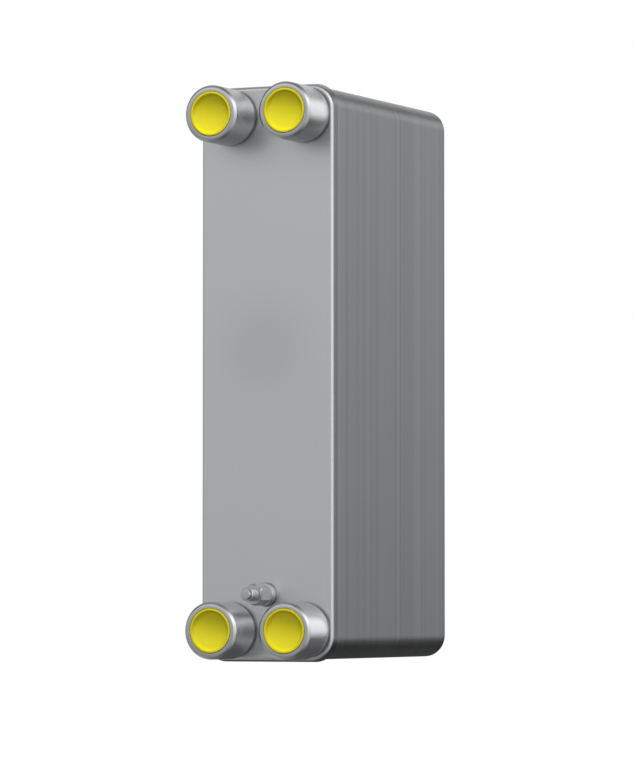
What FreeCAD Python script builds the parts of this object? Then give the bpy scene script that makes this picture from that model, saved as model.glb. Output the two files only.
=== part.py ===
"""Brazed plate heat exchanger: a nested stack of pressed stainless plates between two covers,
four threaded port nozzles on the front with push-in transport plugs, and a service valve.

Millimetres. +Z up, +X to the right seen from the front, the nozzles point along -Y.
The origin is at the bottom of the front cover, at the middle of the whole width and depth.
"""
import FreeCAD, Part
import math
import os
from FreeCAD import Vector

# ---------------------------------------------------------------- driving dimensions
# Front cover: a deep-drawn pan, largest at its open rear edge
cover_width = 124.5
cover_height = 482.0
cover_corner = 21.0
cover_thickness = 2.0
cover_depth = 8.0
cover_bend = 3.0

overcut = 1.0

# Plate stack: every plate is the same drawn pan, moved back by one pitch and nested
plate_thickness = 0.4
plate_pitch = 2.28
rim_depth = 6.0
braze_gap = 0.05
plates_per_set = 4
plate_sets = 24
back_cover_thickness = 2.0

# Ports: centre distances and the round openings through the plates
port_spacing_x = 68.0
port_spacing_z = 430.0
port_hole_radius = 19.5
port_collar_wall = 0.4

# Nozzles: outside thread of 47.8 mm major diameter, left plain at the crest diameter
nozzle_length = 38.0
nozzle_radius = 23.9
nozzle_bore_radius = 18.5
nozzle_chamfer = 2.0
nozzle_neck_radius = 22.4
nozzle_neck_length = 2.2
nozzle_spigot_radius = 20.95
brazed_fit = 0.05

# Transport plugs: a push-in cap with a dish in front and a hollow skirt behind
plug_radius = 18.44
plug_proud = 0.2
plug_lip_length = 1.6
plug_length = 13.2
plug_waist_radius = 18.05
plug_rib_length = 1.2
plug_rib_pitch = 3.6
plug_tail_radius = 17.6
plug_rib_taper = 0.4
plug_dish_radius = 16.8
plug_wall_radius = 15.2
plug_wall_depth = 2.2
plug_dish_depth = 5.2
plug_floor = 1.4
plug_skirt_bore = 16.4

# Service valve on the centre line, just above the lower ports
valve_height = 56.0
boss_radius = 9.5
boss_length = 8.0
boss_bore_radius = 6.0
boss_spigot_radius = 7.0
boss_edge = 0.6
hex_across_flats = 16.0
hex_length = 18.0
hex_chamfer_length = 0.6
hex_chamfer_depth = 1.4
valve_thread_radius = 5.56
valve_thread_length = 11.0
valve_relief_radius = 4.9
valve_relief_length = 0.8
valve_thread_lead = 0.5
stem_bore_radius = 1.6
core_bore_radius = 2.65
core_bore_depth = 25.0

# Closing plug in the valve's mouth: a flat head, a collar behind it and a shank in the bore
closing_collar_radius = 3.6
closing_collar_length = 0.7
closing_head_radius = 4.2
closing_head_length = 2.5
closing_head_chamfer = 0.5
closing_shank_radius = 2.5
closing_shank_length = 3.0
closing_gap = 0.05

# Valve core: sleeve, spring-loaded pin with a poppet, and the seal that it closes on
sleeve_radius = 2.6
sleeve_length = 15.0
sleeve_inset = 5.0
core_edge = 0.3
sleeve_bore_radius = 1.85
sleeve_shoulder = 2.0
pin_radius = 0.75
pin_hole_radius = 0.82
pin_proud = 1.6
pin_edge = 0.2
pin_collar_radius = 1.5
pin_collar_length = 0.6
pin_collar_setback = 1.6
poppet_radius = 2.0
poppet_length = 1.3
seal_radius = 2.3
seal_thickness = 0.6
spring_wire_radius = 0.16
spring_coil_radius = 1.28
spring_turns = 6

# ---------------------------------------------------------------- sizes that follow
# The slope lets each rim slip into the one in front with only the braze film between them
slope = math.asin((plate_thickness + braze_gap) / plate_pitch)
flare = math.tan(slope)
plate_count = plates_per_set * plate_sets
first_plate_y = cover_thickness + braze_gap
rear_seal_y = first_plate_y + (plate_count + 1) * plate_pitch
back_cover_y = rear_seal_y + plate_pitch
stack_end_y = back_cover_y + rim_depth
valve_mouth = boss_length + hex_length + valve_relief_length + valve_thread_length
valve_length = valve_mouth + closing_collar_length + closing_head_length

# Half sizes of a plate's outside at its floor, set back from the front cover's open edge
cover_setback = (cover_depth - first_plate_y) * flare \
    + (cover_thickness + braze_gap) / math.cos(slope)
plate_half_width = cover_width / 2 - cover_setback
plate_half_height = cover_height / 2 - cover_setback
plate_corner = cover_corner - cover_setback

# Local frame: y = 0 on the front cover's face, z = 0 at mid height; moved to the origin on export
shift_to_origin = Vector(0, -(stack_end_y - valve_length) / 2, cover_height / 2)
FORWARD = Vector(0, -1, 0)
REARWARD = Vector(0, 1, 0)

ports = {
    "top_left": (-port_spacing_x / 2, port_spacing_z / 2),
    "top_right": (port_spacing_x / 2, port_spacing_z / 2),
    "bottom_left": (-port_spacing_x / 2, -port_spacing_z / 2),
    "bottom_right": (port_spacing_x / 2, -port_spacing_z / 2),
}
valve_z = valve_height - cover_height / 2


# ---------------------------------------------------------------- shape helpers
def flared_block(half_width, half_height, corner, y_start, y_end):
    """Rounded rectangular block that widens towards the rear at the plate slope."""
    depth = y_end - y_start
    grow = depth * flare
    x_in = half_width - corner
    z_in = half_height - corner
    wide = Part.makeWedge(-half_width, y_start, -z_in, -z_in, -half_width - grow,
                          half_width, y_end, z_in, z_in, half_width + grow)
    tall = Part.makeWedge(-x_in, y_start, -half_height, -half_height - grow, -x_in,
                          x_in, y_end, half_height, half_height + grow, x_in)
    corners = [Part.makeCone(corner, corner + grow, depth, Vector(sx * x_in, y_start, sz * z_in), REARWARD)
               for sx in (-1, 1) for sz in (-1, 1)]
    return wide.multiFuse([tall] + corners).removeSplitter()


def wall_offset(distance):
    """Sideways distance that gives a wall this thickness square to the sloping rim."""
    return distance / math.cos(slope)


def pan(y_floor, floor_thickness, depth, outset=0.0):
    """Drawn pan: floor facing forward, sloping rim running back, open at the rear."""
    outer = flared_block(plate_half_width + outset, plate_half_height + outset,
                         plate_corner + outset, y_floor, y_floor + depth)
    inset = wall_offset(floor_thickness) - floor_thickness * flare
    inner = flared_block(plate_half_width + outset - inset, plate_half_height + outset - inset,
                         plate_corner + outset - inset, y_floor + floor_thickness,
                         y_floor + depth + rim_depth)
    return outer, inner


def rod(radius, y_start, y_end, x, z):
    """Round bar along Y between two depths."""
    return Part.makeCylinder(radius, y_end - y_start, Vector(x, y_start, z), REARWARD)


def tube(outer_radius, inner_radius, y_start, y_end, x, z):
    """Round tube along Y between two depths."""
    return rod(outer_radius, y_start, y_end, x, z).cut(rod(inner_radius, y_start, y_end, x, z))


def turned(profile, x, z):
    """Solid of revolution about the line along Y through x, z. Points are (radius, distance
    in front of the cover); a pair of points makes an arc through the first to the second."""
    def place(point):
        return Vector(x + point[0], -point[1], z)
    edges = []
    here = profile[0]
    for step in profile[1:]:
        if len(step) == 2 and isinstance(step[0], tuple):
            edges.append(Part.Arc(place(here), place(step[0]), place(step[1])).toShape())
            here = step[1]
        else:
            edges.append(Part.makeLine(place(here), place(step)))
            here = step
    edges.append(Part.makeLine(place(here), place(profile[0])))
    face = Part.Face(Part.Wire(edges))
    return face.revolve(Vector(x, 0, z), REARWARD, 360)


def solid_group(shapes):
    """Compound of separate solids that share one node."""
    return Part.makeCompound([solid for shape in shapes for solid in shape.Solids])


# ---------------------------------------------------------------- covers and plates
def front_cover_plate():
    """Thick drawn cover whose rim wraps the front of the stack."""
    depth_before_first = -first_plate_y
    outset = wall_offset(cover_thickness + braze_gap) + depth_before_first * flare
    outer = flared_block(plate_half_width + outset, plate_half_height + outset,
                         plate_corner + outset, 0.0, cover_depth)
    front_edges = [edge for edge in outer.Edges if edge.BoundBox.YMax < first_plate_y]
    outer = outer.makeFillet(cover_bend, front_edges)
    room = wall_offset(braze_gap) + (cover_thickness - first_plate_y) * flare
    inner = flared_block(plate_half_width + room, plate_half_height + room,
                         plate_corner + room, cover_thickness, cover_depth + rim_depth)
    cover = outer.cut(inner)
    hole_end = cover_thickness + overcut
    holes = [rod(nozzle_spigot_radius + brazed_fit, -overcut, hole_end, x, z)
             for x, z in ports.values()]
    holes.append(rod(boss_spigot_radius + brazed_fit, -overcut, hole_end, 0, valve_z))
    return cover.cut(holes)


def pressed_plate(y_floor, sealed_side, open_ports=True):
    """Thin nested pan. On its sealed side the ports carry collars that reach the plate in
    front, which shuts those two ports off from that channel."""
    outer, inner = pan(y_floor, plate_thickness, rim_depth)
    plate = outer.cut(inner)
    collar_start = y_floor - (plate_pitch - plate_thickness - braze_gap)
    collar_end = y_floor + plate_thickness / 2
    collars = [tube(port_hole_radius + port_collar_wall, port_hole_radius, collar_start, collar_end, x, z)
               for x, z in ports.values() if x * sealed_side > 0]
    if collars:
        plate = plate.fuse(collars)
    if open_ports:
        holes = [rod(port_hole_radius, y_floor - plate_pitch, y_floor + plate_pitch, x, z)
                 for x, z in ports.values()]
        plate = plate.cut(holes)
    return plate.removeSplitter()


def front_seal_plate():
    """First plate behind the cover: flat floor, four ports and the service tapping."""
    plate = pressed_plate(first_plate_y, sealed_side=0)
    tapping = rod(boss_bore_radius, first_plate_y - overcut, first_plate_y + overcut, 0, valve_z)
    return plate.cut(tapping)


def channel_plate_sets():
    """All channel plates, alternating left-sealed and right-sealed, in sets of four."""
    first_y = first_plate_y + plate_pitch
    patterns = [pressed_plate(first_y, side) for side in (-1, 1)]
    sets = {}
    for number in range(plate_sets):
        members = []
        for position in range(plates_per_set):
            index = number * plates_per_set + position
            plate = patterns[index % 2].copy()
            plate.translate(Vector(0, index * plate_pitch, 0))
            members.append(plate)
        sets["channel_plates_%02d" % (number + 1)] = solid_group(members)
    return sets


def rear_seal_plate():
    """Last thin plate: its ports stay closed, so the flow turns back here."""
    return pressed_plate(rear_seal_y, sealed_side=-1, open_ports=False)


def back_cover_plate():
    """Thick blind pan nested last; the edge of its rim is the rearmost face."""
    outer, inner = pan(back_cover_y, back_cover_thickness, rim_depth)
    return outer.cut(inner)


# ---------------------------------------------------------------- nozzles and plugs
def port_nozzle(x, z):
    """Turned nozzle: spigot through the cover, relief neck, thread crest, chamfered mouth."""
    bore, crest, neck = nozzle_bore_radius, nozzle_radius, nozzle_neck_radius
    neck_step = crest - neck
    profile = [
        (bore, -cover_thickness), (nozzle_spigot_radius, -cover_thickness),
        (nozzle_spigot_radius, 0), (neck, 0),
        (neck, nozzle_neck_length), (crest, nozzle_neck_length + neck_step),
        (crest, nozzle_length - nozzle_chamfer), (crest - nozzle_chamfer, nozzle_length),
        (bore, nozzle_length),
    ]
    return turned(profile, x, z)


def bowl(edge_radius, centre_out, rise):
    """Shallow spherical bowl about the axis: a point halfway along its arc, and its edge."""
    sphere = (edge_radius ** 2 + rise ** 2) / (2 * rise)
    half_angle = math.asin(edge_radius / sphere) / 2
    halfway = (sphere * math.sin(half_angle), centre_out + sphere * (1 - math.cos(half_angle)))
    return halfway, (edge_radius, centre_out + rise)


def transport_plug(x, z):
    """Moulded push-in plug: lip and bowl in front, two sealing ribs, hollow skirt behind."""
    front = nozzle_length + plug_proud
    lip_end = front - plug_lip_length
    tail = front - plug_length
    floor_front = front - plug_dish_depth
    floor_back = floor_front - plug_floor
    rise = plug_dish_depth - plug_wall_depth
    profile = [(0, floor_back), bowl(plug_skirt_bore, floor_back, rise), (plug_skirt_bore, tail),
               (plug_tail_radius, tail)]
    # two ribs on the skirt, worked outwards from the tail
    rib_start = tail + plug_rib_pitch - plug_rib_length
    for _ in range(2):
        rib_end = rib_start + plug_rib_length
        profile += [(plug_waist_radius, rib_start - plug_rib_taper), (plug_radius, rib_start),
                    (plug_radius, rib_end), (plug_waist_radius, rib_end + plug_rib_taper)]
        rib_start += plug_rib_pitch
    halfway, bowl_edge = bowl(plug_wall_radius, floor_front, rise)
    profile += [(plug_waist_radius, lip_end), (plug_radius, lip_end), (plug_radius, front),
                (plug_dish_radius, front), bowl_edge, (halfway, (0, floor_front))]
    return turned(profile, x, z)


# ---------------------------------------------------------------- service valve
hex_end = boss_length + hex_length
sleeve_front = valve_mouth - sleeve_inset
sleeve_rear = sleeve_front - sleeve_length
seal_rear = sleeve_rear - seal_thickness
poppet_rear = seal_rear - poppet_length
pin_front = sleeve_front + pin_proud
collar_front = sleeve_front - pin_collar_setback
collar_rear = collar_front - pin_collar_length


def service_boss():
    """Round boss brazed into the front cover, bored for the valve's stem."""
    profile = [
        (boss_bore_radius, -cover_thickness), (boss_spigot_radius, -cover_thickness),
        (boss_spigot_radius, 0), (boss_radius, 0), (boss_radius, boss_length - boss_edge),
        (boss_radius - boss_edge, boss_length), (boss_bore_radius, boss_length),
    ]
    return turned(profile, 0, valve_z)


def service_valve_body():
    """Hexagon body with a stem into the boss and an outside thread round its mouth."""
    corner = hex_across_flats / math.sqrt(3)
    points = [Vector(corner * math.sin(math.radians(60 * i)), -hex_end,
                     valve_z + corner * math.cos(math.radians(60 * i))) for i in range(7)]
    hexagon = Part.Face(Part.makePolygon(points)).extrude(REARWARD * hex_length)
    envelope = turned([(0, boss_length), (corner, boss_length), (corner, hex_end - hex_chamfer_length),
                       (corner - hex_chamfer_depth, hex_end), (0, hex_end)], 0, valve_z)
    thread_start = hex_end + valve_relief_length
    neck_start = hex_end - overcut
    stem = boss_bore_radius - brazed_fit
    neck = turned([
        (0, 0), (stem, 0), (stem, neck_start), (valve_relief_radius, neck_start),
        (valve_relief_radius, thread_start),
        (valve_thread_radius, thread_start + valve_thread_lead),
        (valve_thread_radius, valve_mouth - valve_thread_lead),
        (valve_thread_radius - valve_thread_lead, valve_mouth), (0, valve_mouth)], 0, valve_z)
    core_bore = rod(core_bore_radius, -valve_mouth - overcut, core_bore_depth - valve_mouth, 0, valve_z)
    stem_bore = rod(stem_bore_radius, -valve_mouth, overcut, 0, valve_z)
    return hexagon.common(envelope).fuse(neck).cut([core_bore, stem_bore]).removeSplitter()


def valve_closing_plug():
    """Turned plug that shuts the valve's mouth: shank, collar and flat chamfered head."""
    shank_rear = valve_mouth - closing_shank_length
    collar_rear = valve_mouth + closing_gap
    head_rear = valve_mouth + closing_collar_length
    profile = [
        (0, shank_rear), (closing_shank_radius, shank_rear), (closing_shank_radius, collar_rear),
        (closing_collar_radius, collar_rear), (closing_collar_radius, head_rear),
        (closing_head_radius, head_rear),
        (closing_head_radius, valve_length - closing_head_chamfer),
        (closing_head_radius - closing_head_chamfer, valve_length), (0, valve_length),
    ]
    return turned(profile, 0, valve_z)


def valve_core_sleeve():
    """Brass sleeve pressed into the valve's bore, with a shoulder for the spring."""
    guide = pin_hole_radius
    profile = [
        (guide, sleeve_rear), (sleeve_radius, sleeve_rear), (sleeve_radius, sleeve_front - core_edge),
        (sleeve_radius - core_edge, sleeve_front), (sleeve_bore_radius, sleeve_front),
        (sleeve_bore_radius, sleeve_rear + sleeve_shoulder), (guide, sleeve_rear + sleeve_shoulder),
    ]
    return turned(profile, 0, valve_z)


def valve_core_pin():
    """Pin with a poppet at its inner end and a collar that the spring pushes outwards."""
    profile = [
        (0, poppet_rear), (poppet_radius, poppet_rear), (poppet_radius, seal_rear),
        (pin_radius, seal_rear), (pin_radius, collar_rear), (pin_collar_radius, collar_rear),
        (pin_collar_radius, collar_front), (pin_radius, collar_front),
        (pin_radius, pin_front - pin_edge), (pin_radius - pin_edge, pin_front), (0, pin_front),
    ]
    return turned(profile, 0, valve_z)


def valve_core_seal():
    """Soft washer on the sleeve's inner end; the poppet closes against it."""
    profile = [(pin_hole_radius, seal_rear), (seal_radius, seal_rear),
               (seal_radius, sleeve_rear), (pin_hole_radius, sleeve_rear)]
    return turned(profile, 0, valve_z)


def valve_core_spring():
    """Coil spring between the sleeve's shoulder and the pin's collar."""
    start = sleeve_rear + sleeve_shoulder + spring_wire_radius
    length = collar_rear - start - spring_wire_radius
    helix = Part.makeHelix(length / spring_turns, length, spring_coil_radius)
    circle = Part.makeCircle(spring_wire_radius, Vector(spring_coil_radius, 0, 0), REARWARD)
    wire_section = Part.Wire(circle)
    coil = Part.Wire(helix.Edges).makePipeShell([wire_section], True, True)
    coil.rotate(Vector(0, 0, 0), Vector(1, 0, 0), 90)
    coil.translate(Vector(0, -start, valve_z))
    return coil


# ---------------------------------------------------------------- export
def build_nodes():
    """Every sub-part by node name, in the local frame."""
    nodes = {
        "front_cover_plate": front_cover_plate(),
        "front_seal_plate": front_seal_plate(),
        "rear_seal_plate": rear_seal_plate(),
        "back_cover_plate": back_cover_plate(),
        "service_boss": service_boss(),
        "service_valve_body": service_valve_body(),
        "valve_closing_plug": valve_closing_plug(),
        "valve_core_sleeve": valve_core_sleeve(),
        "valve_core_pin": valve_core_pin(),
        "valve_core_seal": valve_core_seal(),
        "valve_core_spring": valve_core_spring(),
    }
    nodes.update(channel_plate_sets())
    for place, (x, z) in ports.items():
        nodes["port_nozzle_" + place] = port_nozzle(x, z)
        nodes["transport_plug_" + place] = transport_plug(x, z)
    return nodes


os.makedirs("parts", exist_ok=True)
for name, shape in build_nodes().items():
    shape.translate(shift_to_origin)
    box = shape.BoundBox
    print("%-28s solids %d valid %s volume %.1f  y %.2f..%.2f z %.2f..%.2f" % (
        name, len(shape.Solids), shape.isValid(), shape.Volume, box.YMin, box.YMax, box.ZMin, box.ZMax))
    shape.exportStep("parts/%s.step" % name)
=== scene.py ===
import math

import bmesh
import bpy
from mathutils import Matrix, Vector


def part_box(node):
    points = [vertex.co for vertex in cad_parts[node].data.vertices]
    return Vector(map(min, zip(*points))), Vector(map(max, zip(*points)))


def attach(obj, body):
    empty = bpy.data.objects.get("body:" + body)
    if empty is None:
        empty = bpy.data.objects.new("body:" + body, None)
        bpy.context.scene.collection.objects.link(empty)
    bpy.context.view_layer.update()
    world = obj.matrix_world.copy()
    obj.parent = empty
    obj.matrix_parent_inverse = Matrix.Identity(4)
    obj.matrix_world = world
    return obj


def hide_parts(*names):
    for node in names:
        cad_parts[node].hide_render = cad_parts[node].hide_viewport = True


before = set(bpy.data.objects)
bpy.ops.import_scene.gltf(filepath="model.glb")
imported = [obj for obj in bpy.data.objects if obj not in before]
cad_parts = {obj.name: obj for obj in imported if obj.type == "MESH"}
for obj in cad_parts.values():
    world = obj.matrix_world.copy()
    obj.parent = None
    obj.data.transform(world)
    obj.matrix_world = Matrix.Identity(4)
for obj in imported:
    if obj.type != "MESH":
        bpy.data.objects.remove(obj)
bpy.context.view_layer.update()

# ------------------------------------------------------------------ front cover
# A deep-drawn stainless pan, 2 mm thick, whose rim wraps the front of the plate stack. It is
# rolled sheet that came out of the brazing furnace with an even, dull satin skin.
MM = 0.001
cover_low, cover_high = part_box("front_cover_plate")
FACE_Y = cover_low.y
MID_Z = (cover_low.z + cover_high.z) / 2
COVER_HALF = ((cover_high.x - cover_low.x) / 2, (cover_high.z - cover_low.z) / 2)
COVER_CORNER = 21.0 * MM
COVER_SHEET = 2.0 * MM
COVER_BEND = 3.0 * MM
COVER_BEND_STEPS = 10
COVER_LIP = 0.2 * MM
COVER_DEPTH = cover_high.y - cover_low.y
NOZZLE_SEAT = 21.0 * MM
NOZZLE_SEAT_SEGMENTS = 48
BOSS_SEAT = 7.05 * MM
BOSS_SEAT_SEGMENTS = 32
set_ends = [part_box("channel_plates_%02d" % number)[1].y for number in (1, 2)]
PLATES_IN_SET = 4
PITCH = (set_ends[1] - set_ends[0]) / PLATES_IN_SET
PLATE_AND_FILM = 0.45 * MM
SLOPE = math.asin(PLATE_AND_FILM / PITCH)
FLARE = math.tan(SLOPE)
CORNER_STEPS = 14
PLACES = ("top_left", "top_right", "bottom_left", "bottom_right")


def middle(node):
    """Centre of a CAD node's box, seen from the front."""
    low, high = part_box(node)
    return (low.x + high.x) / 2, (low.z + high.z) / 2


def outline(half_width, half_height, corner, y):
    """Upright rounded rectangle at depth y, anticlockwise seen from the front."""
    points = []
    for side, up, start in ((1, 1, 0), (-1, 1, 90), (-1, -1, 180), (1, -1, 270)):
        for step in range(CORNER_STEPS + 1):
            angle = math.radians(start + 90 * step / CORNER_STEPS)
            points.append((side * (half_width - corner) + corner * math.cos(angle), y,
                           MID_Z + up * (half_height - corner) + corner * math.sin(angle)))
    return points


def circle(centre, radius, y, segments):
    """Ring of points round a line along Y, anticlockwise seen from the front."""
    turns = [2 * math.pi * step / segments for step in range(segments)]
    return [(centre[0] + radius * math.cos(a), y, centre[1] + radius * math.sin(a)) for a in turns]


def join_rings(mesh, rings):
    """Quads between neighbouring rings; gives back each ring's vertices."""
    loops = [[mesh.verts.new(point) for point in ring] for ring in rings]
    for near, far in zip(loops, loops[1:]):
        for here, after in zip(range(len(near)), list(range(1, len(near))) + [0]):
            mesh.faces.new((near[here], near[after], far[after], far[here]))
    return loops


def fill_flat(mesh, loops):
    """Flat sheet bounded by the first loop, with the other loops as holes in it."""
    edges = []
    for loop in loops:
        for here, after in zip(loop, loop[1:] + loop[:1]):
            edges.append(mesh.edges.get((here, after)) or mesh.edges.new((here, after)))
    bmesh.ops.triangle_fill(mesh, use_beauty=True, edges=edges)


def finish_mesh(mesh, name, sharp=32):
    """Turns a bmesh into a piece with outward faces and creases only where it bends sharply."""
    bmesh.ops.remove_doubles(mesh, verts=mesh.verts, dist=1e-6)
    bmesh.ops.recalc_face_normals(mesh, faces=mesh.faces)
    data = bpy.data.meshes.new(name)
    mesh.to_mesh(data)
    mesh.free()
    data.polygons.foreach_set("use_smooth", [True] * len(data.polygons))
    data.set_sharp_from_angle(angle=math.radians(sharp))
    piece = bpy.data.objects.new(name, data)
    bpy.context.scene.collection.objects.link(piece)
    return piece


def add(tree, kind, values=None, **settings):
    """One node in a tree. Values are its inputs by name or number, set or linked."""
    node = tree.nodes.new(kind)
    for name, value in settings.items():
        setattr(node, name, value)
    for key, value in (values or {}).items():
        if isinstance(value, bpy.types.NodeSocket):
            tree.links.new(value, node.inputs[key])
        else:
            node.inputs[key].default_value = value
    return node


def new_group(name, inputs, outputs):
    """Shader node group with named number inputs, given as name: value, and named outputs."""
    tree = bpy.data.node_groups.new(name, "ShaderNodeTree")
    for label, value in inputs.items():
        socket = tree.interface.new_socket(label, in_out="INPUT", socket_type="NodeSocketFloat")
        socket.default_value = value
    for label, socket_type in outputs.items():
        tree.interface.new_socket(label, in_out="OUTPUT", socket_type=socket_type)
    return tree, tree.nodes.new("NodeGroupInput").outputs, tree.nodes.new("NodeGroupOutput")


def math_node(tree, operation, first, second=0.0, third=0.0, clamp=False):
    """One arithmetic node; gives back its value."""
    node = add(tree, "ShaderNodeMath", {0: first, 1: second, 2: third}, operation=operation)
    node.use_clamp = clamp
    return node.outputs[0]


def rolled_grain_group():
    """Rolling grain of sheet steel: long faint streaks up the sheet, fine furnace speckle and
    broad cloudiness. Gives a tone to multiply the colour by, a roughness shift and a height."""
    tree, given, result = new_group(
        "rolled_grain", {"Streak": 0.05, "Cloud": 0.04, "Speckle": 0.03},
        {"Tone": "NodeSocketFloat", "Rough": "NodeSocketFloat", "Height": "NodeSocketFloat"})
    place = add(tree, "ShaderNodeTexCoord").outputs["Object"]
    streak_place = add(tree, "ShaderNodeMapping", {"Vector": place, "Scale": (420, 420, 7)})
    streaks = add(tree, "ShaderNodeTexNoise",
                  {"Vector": streak_place.outputs[0], "Scale": 1.0, "Detail": 4.0}).outputs[0]
    clouds = add(tree, "ShaderNodeTexNoise",
                 {"Vector": place, "Scale": 9.0, "Detail": 3.0}).outputs[0]
    speckle = add(tree, "ShaderNodeTexNoise",
                  {"Vector": place, "Scale": 260.0, "Detail": 3.0}).outputs[0]
    parts = []
    for noise, strength in ((streaks, "Streak"), (clouds, "Cloud"), (speckle, "Speckle")):
        centred = math_node(tree, "SUBTRACT", noise, 0.5)
        parts.append(math_node(tree, "MULTIPLY", centred, given[strength]))
    total = math_node(tree, "ADD", math_node(tree, "ADD", parts[0], parts[1]), parts[2])
    tree.links.new(math_node(tree, "ADD", total, 1.0), result.inputs["Tone"])
    tree.links.new(math_node(tree, "MULTIPLY", total, -1.4), result.inputs["Rough"])
    height = math_node(tree, "ADD", math_node(tree, "MULTIPLY", streaks, 0.6), speckle)
    tree.links.new(height, result.inputs["Height"])
    return tree


def edge_wear_group():
    """Mask of the corners that stand proud, where handling rubs sheet and bar bright."""
    tree, given, result = new_group("edge_wear", {"Start": 0.53, "Width": 0.05},
                                    {"Mask": "NodeSocketFloat"})
    proud = add(tree, "ShaderNodeNewGeometry").outputs["Pointiness"]
    past_start = math_node(tree, "SUBTRACT", proud, given["Start"])
    share = math_node(tree, "DIVIDE", past_start, given["Width"], clamp=True)
    tree.links.new(share, result.inputs["Mask"])
    return tree


ROLLED_GRAIN = rolled_grain_group()
EDGE_WEAR = edge_wear_group()


def new_material(name, metallic, roughness, **sockets):
    """Material with one Principled shader whose constant values sit on its own sockets."""
    material = bpy.data.materials.new(name)
    material.use_nodes = True
    tree = material.node_tree
    shader = tree.nodes["Principled BSDF"]
    shader.inputs["Metallic"].default_value = metallic
    shader.inputs["Roughness"].default_value = roughness
    for label, value in sockets.items():
        shader.inputs[label.replace("_", " ")].default_value = value
    return material, tree, shader


def tinted(tree, colour, tone, worn_colour=None, mask=0.0):
    """Colour multiplied by a tone, then mixed towards a worn colour by a mask."""
    level = add(tree, "ShaderNodeCombineColor", {0: tone, 1: tone, 2: tone}).outputs[0]
    shaded = add(tree, "ShaderNodeMix", {0: 1.0, 6: (*colour, 1), 7: level},
                 data_type="RGBA", blend_type="MULTIPLY").outputs[2]
    if worn_colour is None:
        return shaded
    return add(tree, "ShaderNodeMix", {0: mask, 6: shaded, 7: (*worn_colour, 1)},
               data_type="RGBA").outputs[2]


def grain_in(tree, streak, cloud, speckle):
    """The rolled grain effect placed in one material, with its own strengths."""
    strengths = {"Streak": streak, "Cloud": cloud, "Speckle": speckle}
    return add(tree, "ShaderNodeGroup", strengths, node_tree=ROLLED_GRAIN).outputs


def graded(tree, value, start, end, low, high, kind="LINEAR"):
    """Grades a value from low at start to high at end, and holds it beyond them."""
    return add(tree, "ShaderNodeMapRange", {"Value": value, "From Min": start, "From Max": end,
               "To Min": low, "To Max": high}, interpolation_type=kind).outputs[0]


def surface(tree, shader, colour, rough, height, strength, distance):
    """Wires colour, roughness and a fine bump to a material's shader."""
    tree.links.new(colour, shader.inputs["Base Color"])
    tree.links.new(rough, shader.inputs["Roughness"])
    bump = add(tree, "ShaderNodeBump",
               {"Height": height, "Strength": strength, "Distance": distance})
    tree.links.new(bump.outputs[0], shader.inputs["Normal"])


COVER_COLOUR = (0.60, 0.61, 0.625)
COVER_ROUGHNESS = 0.36
# Painted reflection: a soft round patch on the face is darkened in the colour, standing in for a dark
# reflection in the satin sheet.
DARK_REFLECTION_PLACE = (-4.0 * MM, FACE_Y, MID_Z + 21.0 * MM)
DARK_REFLECTION_SIZE = 68.0 * MM
DARK_REFLECTION_DEPTH = 0.085
# Painted shade: the sheet's colour darkens from just behind the face to a few millimetres back, and stays
# dark beyond, for the shade on the bend and rim flank.
RIM_SHADE_START = 0.1 * MM
RIM_SHADE_END = 3.4 * MM
RIM_SHADE_TONE = 0.60


def cover_material():
    """Dull satin sheet: grain, broad tone changes, a faint painted dark reflection on the face, and
    painted shade darkening the sheet from the bend backwards.
    """
    material, tree, shader = new_material("cover_sheet", 1.0, COVER_ROUGHNESS)
    grain = grain_in(tree, 0.012, 0.045, 0.008)
    place = add(tree, "ShaderNodeTexCoord").outputs["Object"]
    # Painted reflection: the tone dips in a soft round patch on the face, deepest at its middle.
    away = add(tree, "ShaderNodeVectorMath", {0: place, 1: DARK_REFLECTION_PLACE}, operation="DISTANCE").outputs[1]
    dark_reflection = graded(tree, away, 0.0, DARK_REFLECTION_SIZE, DARK_REFLECTION_DEPTH, 0.0, "SMOOTHERSTEP")
    depth = add(tree, "ShaderNodeSeparateXYZ", {0: place}).outputs["Y"]
    # Painted shade: the colour darkens with depth behind the face, over the bend and the rim.
    rim_shade = graded(tree, depth, FACE_Y + RIM_SHADE_START, FACE_Y + RIM_SHADE_END, 1.0, RIM_SHADE_TONE)
    tone = math_node(tree, "MULTIPLY", math_node(tree, "SUBTRACT", grain["Tone"], dark_reflection), rim_shade)
    rough = math_node(tree, "ADD", grain["Rough"], COVER_ROUGHNESS)
    surface(tree, shader, tinted(tree, COVER_COLOUR, tone), rough, grain["Height"], 0.012, 0.2 * MM)
    return material


def cover_sections():
    """Section through the cover's rim as (outward from the open end's outside, depth), from the
    flat face round the bend, down the sloping rim, over its end and back inside."""
    def flank(depth):
        """Outside of the sloping rim at a depth."""
        return -(COVER_DEPTH - depth) * FLARE

    turn = math.pi / 2 - SLOPE
    flat_edge = flank(0.0) - COVER_BEND * math.tan(turn / 2)
    points = [(flat_edge - 0.4 * MM, 0.0)]
    for step in range(COVER_BEND_STEPS + 1):
        angle = turn * step / COVER_BEND_STEPS
        points.append((flat_edge + COVER_BEND * math.sin(angle), COVER_BEND * (1 - math.cos(angle))))
    wall = COVER_SHEET / math.cos(SLOPE)
    lip = COVER_LIP
    past_bend = COVER_BEND + 0.6 * MM
    near_lip = COVER_DEPTH - 2.5 * lip
    lip_start = COVER_DEPTH - lip
    points += [
        (flank(past_bend), past_bend), (flank(near_lip), near_lip), (flank(lip_start), lip_start),
        (-lip * 0.35, COVER_DEPTH - lip * 0.3), (-lip, COVER_DEPTH), (lip - wall, COVER_DEPTH),
        (flank(lip_start) - wall, lip_start), (flank(COVER_BEND) - wall, COVER_BEND),
        (flank(COVER_SHEET) - wall - 0.6 * MM, COVER_SHEET),
    ]
    return points


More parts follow.
